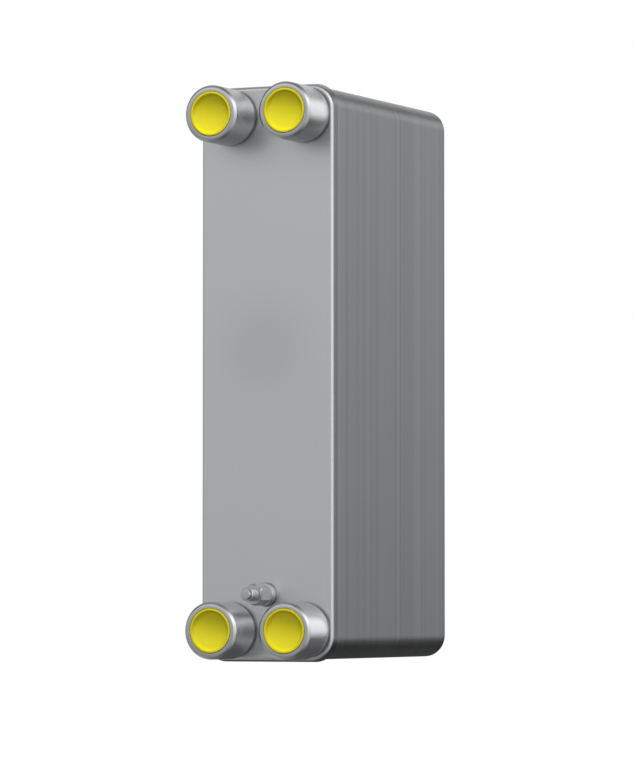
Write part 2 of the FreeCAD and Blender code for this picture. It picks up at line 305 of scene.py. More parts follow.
def build_front_cover():
    """Drawn pan with the four port holes and the hole for the service boss."""
    mesh = bmesh.new()
    rings = [outline(COVER_HALF[0] + out, COVER_HALF[1] + out, COVER_CORNER + out, FACE_Y + depth)
             for out, depth in cover_sections()]
    loops = join_rings(mesh, rings)
    holes = [(middle("port_nozzle_" + place), NOZZLE_SEAT, NOZZLE_SEAT_SEGMENTS) for place in PLACES]
    holes.append((middle("service_boss"), BOSS_SEAT, BOSS_SEAT_SEGMENTS))
    hole_walls = [join_rings(mesh, [circle(centre, radius, FACE_Y + depth, segments)
                                    for depth in (0.0, COVER_SHEET)])
                  for centre, radius, segments in holes]
    fill_flat(mesh, [loops[0]] + [wall[0] for wall in hole_walls])
    fill_flat(mesh, [loops[-1]] + [wall[1] for wall in hole_walls])
    return finish_mesh(mesh, "front_cover")


front_cover = build_front_cover()
front_cover.data.materials.append(cover_material())
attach(front_cover, "stack")
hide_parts("front_cover_plate")

# ------------------------------------------------------------------ plate stack
# Ninety-six channel plates of 0.4 mm stainless, each a drawn pan nested in the one before it
# and brazed at the rims. Round collars shut two ports of each plate, left and right in turn.
SETS = 24
PLATE_SHEET = 0.4 * MM
PLATE_BEND = 0.9 * MM
RIM_DEPTH = 6.0 * MM
PORT_HOLE = 19.5 * MM
PORT_SEGMENTS = 32
COLLAR_WALL = 0.4 * MM
first_floor = set_ends[0] - RIM_DEPTH - (PLATES_IN_SET - 1) * PITCH
back_low, back_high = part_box("back_cover_plate")
STACK_HALF = ((back_high.x - back_low.x) / 2, (back_high.z - back_low.z) / 2)
STACK_CORNER = COVER_CORNER - (COVER_HALF[0] - STACK_HALF[0])


def rim_sections(sheet, bend):
    """Section through a nested pan's rim as (outward from the open end's outside, depth behind the
    floor), from the flat floor's front edge over the rim's end and back to the floor."""
    wall = sheet / math.cos(SLOPE)
    lip = sheet * 0.3
    floor_edge = -RIM_DEPTH * FLARE
    return [
        (floor_edge - bend, 0.0), (floor_edge - bend * 0.28, bend * 0.25),
        (floor_edge + bend * FLARE, bend), (-lip * FLARE, RIM_DEPTH - lip),
        (-lip, RIM_DEPTH), (-wall + lip, RIM_DEPTH), (-wall - lip * FLARE, RIM_DEPTH - lip),
        (floor_edge + (bend + sheet) * FLARE - wall, bend + sheet),
        (floor_edge - wall - bend * 0.6, sheet),
    ]


def add_pan(mesh, floor_y, sheet, bend, sealed_side=0, ports=True):
    """One nested pan. Ports on the sealed side carry a collar that reaches the plate in front."""
    rings = [outline(STACK_HALF[0] + out, STACK_HALF[1] + out, STACK_CORNER + out, floor_y + depth)
             for out, depth in rim_sections(sheet, bend)]
    loops = join_rings(mesh, rings)
    front_holes, back_holes = [], []
    collar_top = floor_y - (PITCH - PLATE_AND_FILM)
    for place in PLACES if ports else ():
        centre = middle("port_nozzle_" + place)
        rows = [(PORT_HOLE, floor_y), (PORT_HOLE, floor_y + sheet)]
        if centre[0] * sealed_side > 0:
            rows = [(PORT_HOLE + COLLAR_WALL, floor_y), (PORT_HOLE + COLLAR_WALL, collar_top),
                    (PORT_HOLE, collar_top), (PORT_HOLE, floor_y + sheet)]
        wall = join_rings(mesh, [circle(centre, radius, y, PORT_SEGMENTS) for radius, y in rows])
        front_holes.append(wall[0])
        back_holes.append(wall[-1])
    fill_flat(mesh, [loops[0]] + front_holes)
    fill_flat(mesh, [loops[-1]] + back_holes)


def plate_repeater():
    """Geometry Nodes tree that stacks copies of a pair of plates, one pair behind the other."""
    tree = bpy.data.node_groups.new("stack_plates", "GeometryNodeTree")
    for label, kind in (("Pair", "NodeSocketGeometry"), ("Pairs", "NodeSocketInt"),
                        ("Pair Depth", "NodeSocketFloat"), ("First Depth", "NodeSocketFloat"),
                        ("Finish", "NodeSocketMaterial")):
        tree.interface.new_socket(label, in_out="INPUT", socket_type=kind)
    tree.interface.new_socket("Set", in_out="OUTPUT", socket_type="NodeSocketGeometry")
    given = tree.nodes.new("NodeGroupInput").outputs
    step = add(tree, "ShaderNodeCombineXYZ", {"Y": given["Pair Depth"]}).outputs[0]
    start = add(tree, "ShaderNodeCombineXYZ", {"Y": given["First Depth"]}).outputs[0]
    line = add(tree, "GeometryNodeMeshLine",
               {"Count": given["Pairs"], "Start Location": start, "Offset": step}, mode="OFFSET")
    copies = add(tree, "GeometryNodeInstanceOnPoints",
                 {"Points": line.outputs["Mesh"], "Instance": given["Pair"]})
    real = add(tree, "GeometryNodeRealizeInstances", {"Geometry": copies.outputs[0]})
    painted = add(tree, "GeometryNodeSetMaterial",
                  {"Geometry": real.outputs[0], "Material": given["Finish"]})
    result = tree.nodes.new("NodeGroupOutput")
    tree.links.new(painted.outputs[0], result.inputs["Set"])
    return tree


PLATE_COLOUR = (0.44, 0.449, 0.465)
PLATE_ROUGHNESS = 0.40


def plate_material():
    """Thin sheet edges: each plate has its own slight tone, with faint streaks up the side."""
    material, tree, shader = new_material("plate_sheet", 1.0, PLATE_ROUGHNESS)
    grain = grain_in(tree, 0.03, 0.04, 0.02)
    place = add(tree, "ShaderNodeTexCoord").outputs["Object"]
    depth = add(tree, "ShaderNodeSeparateXYZ", {0: place}).outputs["Y"]
    from_first = math_node(tree, "SUBTRACT", depth, FACE_Y)
    tone = grain["Tone"]
    for plates, strength in ((1.0, 0.15), (3.0, 0.08)):
        number = math_node(tree, "FLOOR", math_node(tree, "DIVIDE", from_first, plates * PITCH))
        chance = add(tree, "ShaderNodeTexWhiteNoise", {"W": number}, noise_dimensions="1D").outputs[0]
        shift = math_node(tree, "MULTIPLY", math_node(tree, "SUBTRACT", chance, 0.5), strength)
        tone = math_node(tree, "ADD", tone, shift)
    rough = math_node(tree, "ADD", grain["Rough"], PLATE_ROUGHNESS)
    surface(tree, shader, tinted(tree, PLATE_COLOUR, tone), rough, grain["Height"], 0.03, 0.2 * MM)
    return material


def set_input(modifier, tree, label, value):
    """Sets one of a Geometry Nodes modifier's named inputs by its identifier."""
    socket = next(s for s in tree.interface.items_tree if s.name == label and s.in_out == "INPUT")
    modifier[socket.identifier] = value


PLATE_FINISH = plate_material()
pair_mesh = bmesh.new()
for position, side in enumerate((-1, 1)):
    add_pan(pair_mesh, first_floor + position * PITCH, PLATE_SHEET, PLATE_BEND, side)
plate_pair = finish_mesh(pair_mesh, "plate_pair")
stacker = plate_repeater()
for number in range(SETS):
    modifier = plate_pair.modifiers.new("stack", "NODES")
    modifier.node_group = stacker
    set_input(modifier, stacker, "Pairs", PLATES_IN_SET // 2)
    set_input(modifier, stacker, "Pair Depth", 2 * PITCH)
    set_input(modifier, stacker, "First Depth", number * PLATES_IN_SET * PITCH)
    set_input(modifier, stacker, "Finish", PLATE_FINISH)
    evaluated = plate_pair.evaluated_get(bpy.context.evaluated_depsgraph_get())
    data = bpy.data.meshes.new_from_object(evaluated)
    plate_pair.modifiers.remove(modifier)
    plate_set = bpy.data.objects.new("plate_set_%02d" % (number + 1), data)
    bpy.context.scene.collection.objects.link(plate_set)
    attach(plate_set, "stack")
    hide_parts("channel_plates_%02d" % (number + 1))
bpy.data.objects.remove(plate_pair)

# ------------------------------------------------------------------ seal plates and back cover
# The first and last thin plates close the stack; the rear one has no open ports. The back cover
# is a 2 mm pan nested last, with its rim facing backwards.
BACK_COVER_BEND = 2.0 * MM

seal_mesh = bmesh.new()
last_floor = first_floor + SETS * PLATES_IN_SET * PITCH
add_pan(seal_mesh, last_floor, PLATE_SHEET, PLATE_BEND, ports=False)
rear_seal = finish_mesh(seal_mesh, "rear_seal")
rear_seal.data.materials.append(PLATE_FINISH)
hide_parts("rear_seal_plate")

seal_mesh = bmesh.new()
add_pan(seal_mesh, first_floor - PITCH, PLATE_SHEET, PLATE_BEND)
front_seal = finish_mesh(seal_mesh, "front_seal")
front_seal.data.materials.append(PLATE_FINISH)
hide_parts("front_seal_plate")

back_mesh = bmesh.new()
add_pan(back_mesh, back_low.y, COVER_SHEET, BACK_COVER_BEND, ports=False)
back_cover = finish_mesh(back_mesh, "back_cover")
# The cover finish's painted shade darkens all of the back cover, which lies far behind the face.
back_cover.data.materials.append(cover_material())
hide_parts("back_cover_plate")

for piece, finish_slot in ((rear_seal, "plate_steel"), (front_seal, "plate_steel"),
                           (back_cover, "cover_steel")):
    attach(piece, "stack")

# ------------------------------------------------------------------ port nozzles
# Four nozzles turned from stainless bar: a spigot brazed into the cover, a relief neck, a parallel
# pipe thread of eleven turns to the inch, a chamfered mouth and a flat face for a sealing washer.
nozzle_low, nozzle_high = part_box("port_nozzle_top_left")
NOZZLE_CREST = (nozzle_high.x - nozzle_low.x) / 2
NOZZLE_LENGTH = FACE_Y - nozzle_low.y
NOZZLE_BORE = 18.5 * MM
NOZZLE_NECK = 22.4 * MM
NOZZLE_NECK_LENGTH = 2.2 * MM
NOZZLE_CHAMFER = 2.0 * MM
NOZZLE_SPIGOT = 20.95 * MM
PIPE_THREAD_PITCH = 25.4 / 11 * MM
PIPE_THREAD_DEPTH = 0.28 * MM
NOZZLE_SEGMENTS = 96
# One turn of a thread, as (share of the pitch, share of the depth)
THREAD_SECTION = ((0.0, 0.0), (0.11, 1.0), (0.22, 0.0), (0.61, 0.0))


def lathe(mesh, centre, profile, segments, closed=False):
    """Turns a profile of (radius, distance in front of the cover) about a line along Y."""
    rings = [circle(centre, max(radius, 1e-7), FACE_Y - out, segments) for radius, out in profile]
    if closed:
        rings.append(rings[0])
    return join_rings(mesh, rings)


def thread_band(mesh, centre, start, end, crest, depth, pitch, segments):
    """Helical groove between wide flat crests, from start to end in front of the cover."""
    rows = len(THREAD_SECTION)
    count = (int(math.ceil((end - start) / pitch)) + 1) * rows
    columns = []
    for column in range(segments):
        angle = 2 * math.pi * column / segments
        points = []
        for row in range(count + 1):
            share, cut = THREAD_SECTION[row % rows]
            wanted = start + pitch * (row // rows + share + column / segments - 1)
            out = min(max(wanted, start), end)
            radius = crest - depth * cut * (out == wanted)
            points.append(mesh.verts.new((centre[0] + radius * math.cos(angle), FACE_Y - out,
                                          centre[1] + radius * math.sin(angle))))
        columns.append(points)
    for column in range(segments):
        last = column == segments - 1
        after = columns[0] if last else columns[column + 1]
        shift = rows if last else 0
        for row in range(count - shift):
            corners = (columns[column][row], after[row + shift], after[row + shift + 1],
                       columns[column][row + 1])
            if max(v.co.y for v in corners) - min(v.co.y for v in corners) > 1e-9:
                mesh.faces.new(corners)


def turned_marks_group():
    """Lathe marks: fine rings at right angles to the axis, read from the piece's own UV map."""
    tree, given, result = new_group("turned_marks", {"Strength": 0.06},
                                    {"Tone": "NodeSocketFloat", "Height": "NodeSocketFloat"})
    unwrapped = add(tree, "ShaderNodeUVMap", uv_map="turned").outputs[0]
    stretched = add(tree, "ShaderNodeMapping", {"Vector": unwrapped, "Scale": (3, 5200, 1)}).outputs[0]
    rings = add(tree, "ShaderNodeTexNoise", {"Vector": stretched, "Scale": 1.0, "Detail": 3.0}).outputs[0]
    centred = math_node(tree, "MULTIPLY", math_node(tree, "SUBTRACT", rings, 0.5), given["Strength"])
    tree.links.new(math_node(tree, "ADD", centred, 1.0), result.inputs["Tone"])
    tree.links.new(rings, result.inputs["Height"])
    return tree


TURNED_MARKS = turned_marks_group()


def unwrap_turned(piece, centre):
    """UV map of a turned piece: turns round the axis across, distance along and out from it up."""
    layer = piece.data.uv_layers.new(name="turned")
    for loop in piece.data.loops:
        point = piece.data.vertices[loop.vertex_index].co
        across, up = point.x - centre[0], point.z - centre[1]
        layer.data[loop.index].uv = (abs(math.atan2(up, across)) / math.pi,
                                     math.hypot(across, up) + FACE_Y - point.y)


NOZZLE_COLOUR = (0.50, 0.505, 0.52)
NOZZLE_WORN = (0.68, 0.685, 0.69)
NOZZLE_ROUGHNESS = 0.30
# Painted shade: turned parts darken over the last few millimetres before the cover, for the dark line
# where they meet it.
BASE_SHADE_CLEAR = 3.6 * MM
BASE_SHADE_FULL = 1.2 * MM
BASE_SHADE_TONE = 0.35


def nozzle_material():
    """Turned bar: lathe rings, bright worn edges, and painted shade darkening it close to the cover."""
    material, tree, shader = new_material("turned_bar", 1.0, NOZZLE_ROUGHNESS)
    marks = add(tree, "ShaderNodeGroup", {"Strength": 0.03}, node_tree=TURNED_MARKS).outputs
    grain = grain_in(tree, 0.0, 0.06, 0.01)
    wear = add(tree, "ShaderNodeGroup", {"Start": 0.56, "Width": 0.06}, node_tree=EDGE_WEAR)
    place = add(tree, "ShaderNodeTexCoord").outputs["Object"]
    depth = add(tree, "ShaderNodeSeparateXYZ", {0: place}).outputs["Y"]
    # Painted shade: the colour darkens towards the cover near the base of each turned part.
    base_shade = graded(tree, depth, FACE_Y - BASE_SHADE_CLEAR, FACE_Y - BASE_SHADE_FULL, 1.0, BASE_SHADE_TONE)
    tone = math_node(tree, "MULTIPLY", math_node(tree, "MULTIPLY", marks["Tone"], grain["Tone"]), base_shade)
    colour = tinted(tree, NOZZLE_COLOUR, tone, NOZZLE_WORN, wear.outputs["Mask"])
    rough = math_node(tree, "ADD", grain["Rough"], NOZZLE_ROUGHNESS)
    surface(tree, shader, colour, rough, marks["Height"], 0.01, 0.1 * MM)
    return material


TURNED_BAR = nozzle_material()


def build_nozzle(place):
    """One nozzle: plain turned surfaces by lathe, then the thread between neck and mouth."""
    centre = middle("port_nozzle_" + place)
    face = NOZZLE_LENGTH
    edge = 0.3 * MM
    thread_end = face - NOZZLE_CHAMFER
    thread_start = NOZZLE_NECK_LENGTH + NOZZLE_CREST - NOZZLE_NECK
    face_edge = NOZZLE_CREST - NOZZLE_CHAMFER
    profile = [
        (NOZZLE_CREST, thread_end), (face_edge + 0.1 * MM, face - 0.1 * MM),
        (face_edge - 0.1 * MM, face), (NOZZLE_BORE + 0.9 * MM, face), (NOZZLE_BORE + 0.5 * MM, face),
        (NOZZLE_BORE + 0.1 * MM, face - 0.4 * MM), (NOZZLE_BORE, face - 0.7 * MM),
        (NOZZLE_BORE, face - 2 * MM), (NOZZLE_BORE, -COVER_SHEET), (20.6 * MM, -COVER_SHEET),
        (NOZZLE_SPIGOT, -COVER_SHEET + edge), (NOZZLE_SPIGOT, 0.0), (NOZZLE_NECK - edge, 0.0),
        (NOZZLE_NECK, edge), (NOZZLE_NECK, NOZZLE_NECK_LENGTH - edge),
        (NOZZLE_NECK + edge / 2, NOZZLE_NECK_LENGTH), (NOZZLE_CREST, thread_start),
    ]
    mesh = bmesh.new()
    lathe(mesh, centre, profile, NOZZLE_SEGMENTS)
    thread_band(mesh, centre, thread_start, thread_end, NOZZLE_CREST, PIPE_THREAD_DEPTH,
                PIPE_THREAD_PITCH, NOZZLE_SEGMENTS)
    nozzle = finish_mesh(mesh, "nozzle_" + place, sharp=28)
    unwrap_turned(nozzle, centre)
    return nozzle


for place in PLACES:
    nozzle = build_nozzle(place)
    nozzle.data.materials.append(TURNED_BAR)
    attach(nozzle, "stack")
    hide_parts("port_nozzle_" + place)

# ------------------------------------------------------------------ service boss
# Short round boss turned from stainless bar, brazed into its hole in the cover. Its front edge is
# softened, and it is bored for the stem of the service valve.
VALVE_CENTRE = middle("service_boss")
VALVE_SEGMENTS = 72
BOSS_LENGTH = 8.0 * MM
BOSS_RADIUS = 9.5 * MM
BOSS_SPIGOT = 7.0 * MM
BOSS_BORE = 6.0 * MM


def build_boss():
    """Round boss from its spigot in the cover to its softened front edge."""
    mesh = bmesh.new()
    profile = [
        (BOSS_BORE, -COVER_SHEET), (BOSS_SPIGOT, -COVER_SHEET), (BOSS_SPIGOT, 0.0), (BOSS_RADIUS, 0.0),
        (BOSS_RADIUS, BOSS_LENGTH - 0.8 * MM), (BOSS_RADIUS - 0.08 * MM, BOSS_LENGTH - 0.4 * MM),
        (BOSS_RADIUS - 0.3 * MM, BOSS_LENGTH - 0.12 * MM), (BOSS_RADIUS - 0.6 * MM, BOSS_LENGTH),
        (BOSS_BORE, BOSS_LENGTH),
    ]
    lathe(mesh, VALVE_CENTRE, profile, VALVE_SEGMENTS, closed=True)
    return finish_mesh(mesh, "service_boss_round")


boss = build_boss()
unwrap_turned(boss, VALVE_CENTRE)
boss.data.materials.append(TURNED_BAR)
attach(boss, "stack")
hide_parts("service_boss")

# ------------------------------------------------------------------ service valve body
# Access valve turned from hexagon bar, brazed into the boss by its stem: a hexagon to hold it by,
# a narrow neck, and a short fine thread round the mouth of its bore.
valve_low, valve_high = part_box("service_valve_body")
VALVE_MOUTH = FACE_Y - valve_low.y
HEX_HALF_FLATS = (valve_high.x - valve_low.x) / 2
HEX_END = 26.0 * MM
HEX_STEPS = 12
HEX_CORNER_CUT = 1.0 * MM
HEX_CONE_SLOPE = 2.0
HEX_CONE_STEP = 0.35 * MM
VALVE_STEM = 5.95 * MM
VALVE_NECK = 4.9 * MM
SMALL_THREAD_CREST = 5.56 * MM
SMALL_THREAD_PITCH = 1.27 * MM
SMALL_THREAD_DEPTH = 0.25 * MM
SMALL_THREAD_CHAMFER = 0.4 * MM
STEM_BORE = 1.6 * MM
CORE_BORE = 2.65 * MM
CORE_BORE_DEPTH = 25.0 * MM


def hexagon_rings():
    """Rings up a hexagon whose corners are cut by a cone at both ends."""
    corner = HEX_HALF_FLATS / math.cos(math.radians(30))
    length = HEX_END - BOSS_LENGTH
    stations = [BOSS_LENGTH + length * step / HEX_STEPS for step in range(HEX_STEPS + 1)]
    stations = sorted(stations + [BOSS_LENGTH + HEX_CONE_STEP, HEX_END - HEX_CONE_STEP])
    rings = []
    for out in stations:
        from_end = min(out - BOSS_LENGTH, HEX_END - out)
        cone = corner - HEX_CORNER_CUT + from_end * HEX_CONE_SLOPE
        ring = []
        for column in range(VALVE_SEGMENTS):
            angle = 2 * math.pi * column / VALVE_SEGMENTS
            from_flat = (angle + math.pi / 6) % (math.pi / 3) - math.pi / 6
            radius = min(HEX_HALF_FLATS / math.cos(from_flat), cone)
            ring.append((VALVE_CENTRE[0] + radius * math.cos(angle), FACE_Y - out,
                         VALVE_CENTRE[1] + radius * math.sin(angle)))
        rings.append(ring)
    return rings


def build_valve_body():
    """Hexagon, then the stem and the bore behind it, and the neck and thread in front of it."""
    mesh = bmesh.new()
    rings = hexagon_rings()
    join_rings(mesh, rings)
    thread_start = HEX_END + 0.8 * MM
    thread_end = VALVE_MOUTH - SMALL_THREAD_CHAMFER
    bore_end = VALVE_MOUTH - CORE_BORE_DEPTH
    stem_and_bore = [
        (rings[0][0][0] - VALVE_CENTRE[0], BOSS_LENGTH), (VALVE_STEM, BOSS_LENGTH), (VALVE_STEM, 0.0),
        (STEM_BORE, 0.0), (STEM_BORE, bore_end), (CORE_BORE, bore_end),
        (CORE_BORE, VALVE_MOUTH - 0.2 * MM), (CORE_BORE + 0.2 * MM, VALVE_MOUTH),
        (SMALL_THREAD_CREST - SMALL_THREAD_CHAMFER, VALVE_MOUTH), (SMALL_THREAD_CREST, thread_end),
    ]
    lathe(mesh, VALVE_CENTRE, stem_and_bore, VALVE_SEGMENTS)
    neck = [
        (rings[-1][0][0] - VALVE_CENTRE[0], HEX_END), (5.4 * MM, HEX_END),
        (VALVE_NECK, HEX_END + 0.05 * MM), (VALVE_NECK, thread_start - 0.3 * MM),
        (SMALL_THREAD_CREST, thread_start),
    ]
    lathe(mesh, VALVE_CENTRE, neck, VALVE_SEGMENTS)
    thread_band(mesh, VALVE_CENTRE, thread_start, thread_end, SMALL_THREAD_CREST, SMALL_THREAD_DEPTH,
                SMALL_THREAD_PITCH, VALVE_SEGMENTS)
    return finish_mesh(mesh, "service_valve_hexagon", sharp=26)


valve_body = build_valve_body()
unwrap_turned(valve_body, VALVE_CENTRE)
valve_body.data.materials.append(TURNED_BAR)
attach(valve_body, "stack")
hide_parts("service_valve_body")

# ------------------------------------------------------------------ braze fillets
# Where each nozzle and the service boss meet the cover, the melted braze metal leaves a small smooth
# fillet with a slightly warmer colour than the steel. Its colour is also darkened well below the steel's,
# painted shade for the dark line where the bar meets the cover.
FILLET_SIZE = 0.8 * MM
FILLET_STEPS = 5
FILLET_OFF_FACE = 0.02 * MM
BOSS_FILLET_SEGMENTS = 48
# Painted shade: the braze colour is warm like braze metal and darker than the steel, for the dark line at
# each joint.
BRAZE_COLOUR_AND_SHADE = (0.36, 0.345, 0.33)
BRAZE_ROUGHNESS = 0.42


def add_fillet(mesh, centre, radius, segments):
    """Hollow-curved fillet ring between a round bar and the cover's face."""
    inner = radius - 0.1 * MM
    profile = [(inner, FILLET_OFF_FACE)]
    for step in range(FILLET_STEPS + 1):
        angle = math.pi / 2 * step / FILLET_STEPS
        profile.append((radius + FILLET_SIZE * (1 - math.sin(angle)),
                        FILLET_OFF_FACE + FILLET_SIZE * (1 - math.cos(angle))))
    profile.append((inner, FILLET_SIZE))
    lathe(mesh, centre, profile, segments, closed=True)


def braze_material():
    """Frozen braze metal: smooth, a little warm, mottled, and darkened as painted shade at the joint."""
    material, tree, shader = new_material("braze_metal_and_shade", 1.0, BRAZE_ROUGHNESS)
    grain = grain_in(tree, 0.0, 0.3, 0.12)
    rough = math_node(tree, "ADD", grain["Rough"], BRAZE_ROUGHNESS)
    surface(tree, shader, tinted(tree, BRAZE_COLOUR_AND_SHADE, grain["Tone"]), rough, grain["Height"], 0.1, 0.2 * MM)
    return material


fillet_mesh = bmesh.new()
for place in PLACES:
    add_fillet(fillet_mesh, middle("port_nozzle_" + place), NOZZLE_NECK, NOZZLE_SEGMENTS)
add_fillet(fillet_mesh, VALVE_CENTRE, BOSS_RADIUS, BOSS_FILLET_SEGMENTS)
braze_fillets = finish_mesh(fillet_mesh, "braze_fillets")
braze_fillets.data.materials.append(braze_material())
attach(braze_fillets, "stack")

# ------------------------------------------------------------------ valve core
# Brass sleeve and pin, a steel wire spring round the pin and a white sealing washer, all pushed
# into the valve's bore. They keep the shapes of the solids and get their finishes here.


def core_material(name, colour, metallic, roughness, cloud):
    """Small core parts: a plain colour broken by fine mottling and a faint grain."""
    material, tree, shader = new_material(name, metallic, roughness)
    grain = grain_in(tree, 0.05, cloud, 0.06)
    tree.links.new(tinted(tree, colour, grain["Tone"]), shader.inputs["Base Color"])
    tree.links.new(math_node(tree, "ADD", grain["Rough"], roughness), shader.inputs["Roughness"])
    return material


BRASS = core_material("core_brass", (0.66, 0.47, 0.19), 1.0, 0.30, 0.15)
SPRING_STEEL = core_material("spring_wire", (0.55, 0.55, 0.56), 1.0, 0.25, 0.08)
SEAL_WHITE = core_material("seal_washer", (0.82, 0.82, 0.79), 0.0, 0.50, 0.05)
for node, finish in (("valve_core_sleeve", BRASS), ("valve_core_pin", BRASS),
                     ("valve_core_spring", SPRING_STEEL), ("valve_core_seal", SEAL_WHITE)):
    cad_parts[node].data.materials.clear()
    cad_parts[node].data.materials.append(finish)

# ------------------------------------------------------------------ valve closing plug
# Small turned steel plug pushed into the valve's mouth by its shank. A narrow collar and a flat
# head with a softened edge stand in front of the mouth.
CLOSING_SHANK = 2.5 * MM
CLOSING_SHANK_DEPTH = 3.0 * MM
CLOSING_COLLAR = 3.6 * MM
CLOSING_COLLAR_LENGTH = 0.7 * MM
CLOSING_HEAD = 4.2 * MM
CLOSING_LENGTH = 3.2 * MM
CLOSING_SEGMENTS = 48


def build_closing_plug():
    """Plug from the shank's end over the collar and the head to the head's middle."""
    mesh = bmesh.new()
    shank_end = VALVE_MOUTH - CLOSING_SHANK_DEPTH
    collar_start = VALVE_MOUTH + 0.05 * MM
    head_start = VALVE_MOUTH + CLOSING_COLLAR_LENGTH
    head_end = VALVE_MOUTH + CLOSING_LENGTH
    profile = [
        (0.0, shank_end), (CLOSING_SHANK - 0.2 * MM, shank_end), (CLOSING_SHANK, shank_end + 0.2 * MM),
        (CLOSING_SHANK, collar_start), (CLOSING_COLLAR, collar_start), (CLOSING_COLLAR, head_start),
        (CLOSING_HEAD - 0.15 * MM, head_start), (CLOSING_HEAD, head_start + 0.15 * MM),
        (CLOSING_HEAD, head_end - 0.45 * MM), (CLOSING_HEAD - 0.08 * MM, head_end - 0.2 * MM),
        (CLOSING_HEAD - 0.3 * MM, head_end - 0.04 * MM), (CLOSING_HEAD - 0.6 * MM, head_end),
        (0.0, head_end),
    ]
    lathe(mesh, VALVE_CENTRE, profile, CLOSING_SEGMENTS)
    return finish_mesh(mesh, "valve_mouth_plug", sharp=40)


closing_plug = build_closing_plug()
unwrap_turned(closing_plug, VALVE_CENTRE)
closing_plug.data.materials.append(TURNED_BAR)
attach(closing_plug, "valve_plug")
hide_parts("valve_closing_plug")

# ------------------------------------------------------------------ transport plugs
# Push-in caps moulded in soft yellow polyethylene: a lip, a rounded dish in front, two sealing
# ribs and a hollow skirt behind. They keep dirt out of the ports until the pipes are fitted.
plug_low, plug_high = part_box("transport_plug_top_left")
PLUG_RADIUS = (plug_high.x - plug_low.x) / 2
PLUG_FRONT = FACE_Y - plug_low.y
PLUG_TAIL = FACE_Y - plug_high.y
PLUG_DISH_RADIUS = 16.8 * MM
PLUG_WALL_RADIUS = 15.2 * MM
PLUG_WALL_DEPTH = 2.2 * MM
PLUG_DISH_DEPTH = 5.2 * MM
PLUG_FLOOR = 1.4 * MM
PLUG_SKIRT_BORE = 16.4 * MM
PLUG_WAIST = 18.05 * MM
PLUG_LIP = 1.6 * MM
PLUG_RIBS = 2
PLUG_RIB_START = 3.0 * MM
PLUG_RIB_SPACING = 3.6 * MM
PLUG_RIB_HALF = 1.0 * MM
PLUG_RIB_ROUND = 0.4 * MM
PLUG_BOWL_STEPS = 14
PLUG_SEGMENTS = 96
PLUG_COLOUR = (0.475, 0.422, 0.008)


def arc(centre_radius, centre_out, radius, start, end, steps):
    """Profile points along an arc, angles in degrees from straight outwards towards the front."""
    angles = [math.radians(start + (end - start) * step / steps) for step in range(steps + 1)]
    return [(centre_radius + radius * math.cos(a), centre_out + radius * math.sin(a)) for a in angles]


def bowl(edge_radius, centre_out, steps):
    """Profile points of the plug's shallow spherical bowl, from its middle out to an edge."""
    rise = PLUG_DISH_DEPTH - PLUG_WALL_DEPTH
    sphere = (edge_radius ** 2 + rise ** 2) / (2 * rise)
    half_angle = math.asin(edge_radius / sphere)
    angles = [half_angle * step / steps for step in range(steps + 1)]
    return [(sphere * math.sin(a), centre_out + sphere * (1 - math.cos(a))) for a in angles]


def plug_profile():
    """Half section of a plug from the middle of its bowl, out over the lip, to behind its floor."""
    floor = PLUG_FRONT - PLUG_DISH_DEPTH
    edge = 0.35 * MM
    profile = bowl(PLUG_WALL_RADIUS - 0.3 * MM, floor, PLUG_BOWL_STEPS)
    profile += [(PLUG_WALL_RADIUS, PLUG_FRONT - PLUG_WALL_DEPTH + 0.3 * MM)]
    profile += arc(PLUG_DISH_RADIUS + edge * 0.6, PLUG_FRONT - edge, edge, 170, 90, 5)
    profile += arc(PLUG_RADIUS - edge, PLUG_FRONT - edge, edge, 90, 0, 5)
    lip_end = PLUG_FRONT - PLUG_LIP
    profile += [(PLUG_RADIUS, lip_end + 0.2 * MM), (PLUG_RADIUS - 0.15 * MM, lip_end),
                (PLUG_WAIST, lip_end)]
    for rib in reversed(range(PLUG_RIBS)):
        rib_out = PLUG_TAIL + PLUG_RIB_START + rib * PLUG_RIB_SPACING
        profile += [(PLUG_WAIST, rib_out + PLUG_RIB_HALF)]
        profile += arc(PLUG_RADIUS - PLUG_RIB_ROUND, rib_out, PLUG_RIB_ROUND, 80, -80, 6)
        profile += [(PLUG_WAIST, rib_out - PLUG_RIB_HALF)]
    profile += [(17.6 * MM, PLUG_TAIL + 0.2 * MM), (17.4 * MM, PLUG_TAIL),
                (PLUG_SKIRT_BORE + 0.1 * MM, PLUG_TAIL), (PLUG_SKIRT_BORE, PLUG_TAIL + 0.2 * MM)]
    return profile + bowl(PLUG_SKIRT_BORE, floor - PLUG_FLOOR, PLUG_BOWL_STEPS)[::-1]


def plug_material():
    """Waxy polyethylene: a little light passes into it, with a fine moulded skin and flow marks."""
    material, tree, shader = new_material(
        "yellow_polyethylene", 0.0, 0.42, Subsurface_Weight=0.05, Subsurface_Scale=0.002,
        Specular_IOR_Level=0.22)
    shader.inputs["Subsurface Radius"].default_value = (1.0, 0.8, 0.15)
    place = add(tree, "ShaderNodeTexCoord").outputs["Object"]
    flow = add(tree, "ShaderNodeTexNoise",
               {"Vector": place, "Scale": 60.0, "Detail": 2.0, "Distortion": 1.2}).outputs[0]
    skin = add(tree, "ShaderNodeTexNoise", {"Vector": place, "Scale": 2200.0, "Detail": 2.0}).outputs[0]
    tone = math_node(tree, "MULTIPLY_ADD", flow, 0.08, 0.96)
    rough = math_node(tree, "MULTIPLY_ADD", skin, 0.12, 0.36)
    surface(tree, shader, tinted(tree, PLUG_COLOUR, tone), rough, skin, 0.12, 0.1 * MM)
    return material


YELLOW_PLASTIC = plug_material()
for place in PLACES:
    plug_mesh = bmesh.new()
    lathe(plug_mesh, middle("transport_plug_" + place), plug_profile(), PLUG_SEGMENTS)
    plug = finish_mesh(plug_mesh, "plug_" + place, sharp=40)
    plug.data.materials.append(YELLOW_PLASTIC)
    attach(plug, "plug_" + place)
    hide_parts("transport_plug_" + place)

# ------------------------------------------------------------------ studio
# Plain pale floor in a room whose soft panels stand at the front, the right and behind. Gaps
# between the panels keep the sides and roundings darker.
FLOOR_HALF = 7.0


